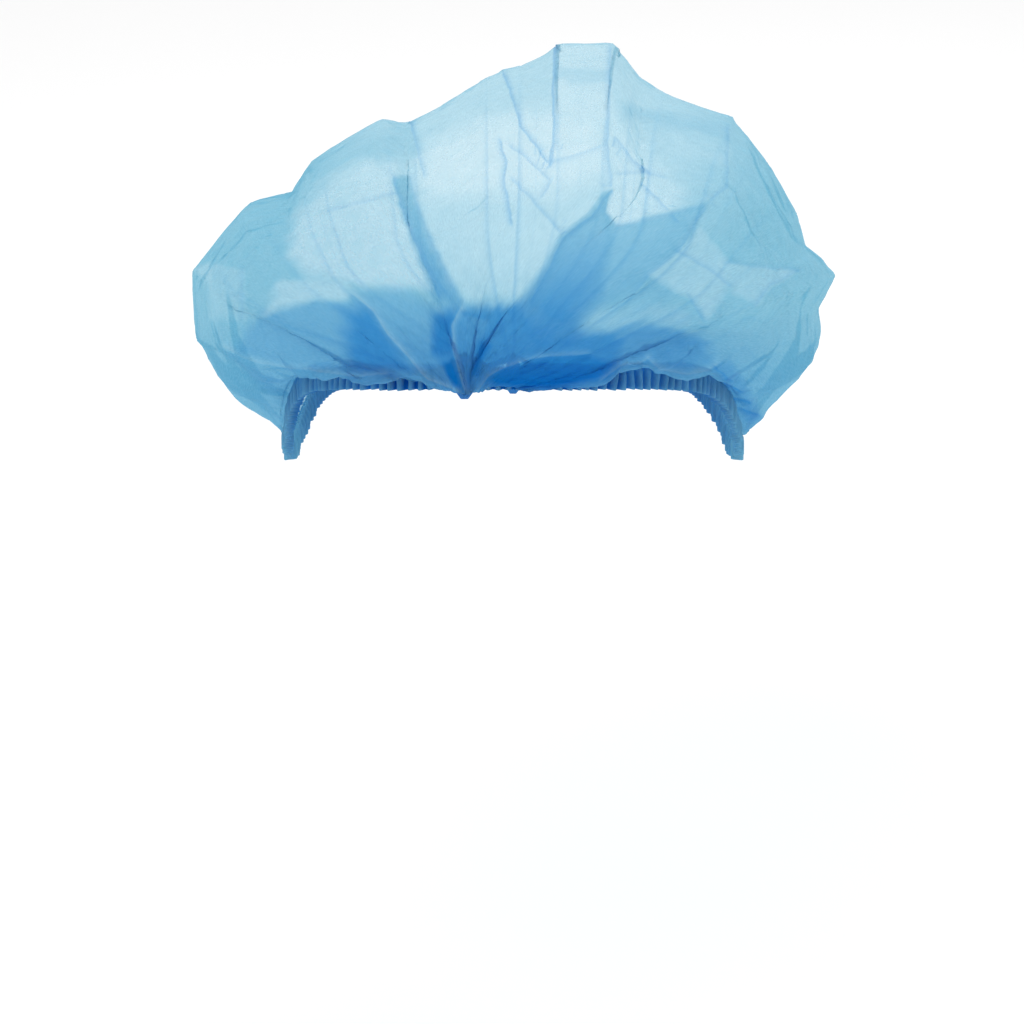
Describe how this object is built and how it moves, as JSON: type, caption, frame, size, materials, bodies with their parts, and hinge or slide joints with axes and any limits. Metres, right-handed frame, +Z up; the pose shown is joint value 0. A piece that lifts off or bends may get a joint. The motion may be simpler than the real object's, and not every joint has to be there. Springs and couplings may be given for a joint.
{
  "type": "disposable hairnet",
  "caption": "Puffed pleated hair cap of thin blue nonwoven with shirred elastic hems and pleat ends welded at forehead and nape, worn to keep hair covered.",
  "frame": {"origin": "middle of the head opening, halfway between the front and back welds", "axes": "+Z up as worn, the front weld towards -Y, the wearer's left towards +X; the opening drops 20 degrees from front to back"},
  "size_m": [0.2285, 0.2472, 0.1567],
  "materials": {
    "nonwoven_crown": "thin translucent spunbond polypropylene, matt with a faint sheen and crisp pressed pleats",
    "shirred_hem": "the same nonwoven folded over elastic, shirred into close ruffles",
    "welded_pleats": "many layers of pleats welded into a dense bundle"
  },
  "bodies": {
    "root": {"crown": "nonwoven_crown", "elastic_hem_right": "shirred_hem", "elastic_hem_left": "shirred_hem", "front_gather": "welded_pleats", "back_gather": "welded_pleats"}
  },
  "joints": []
}
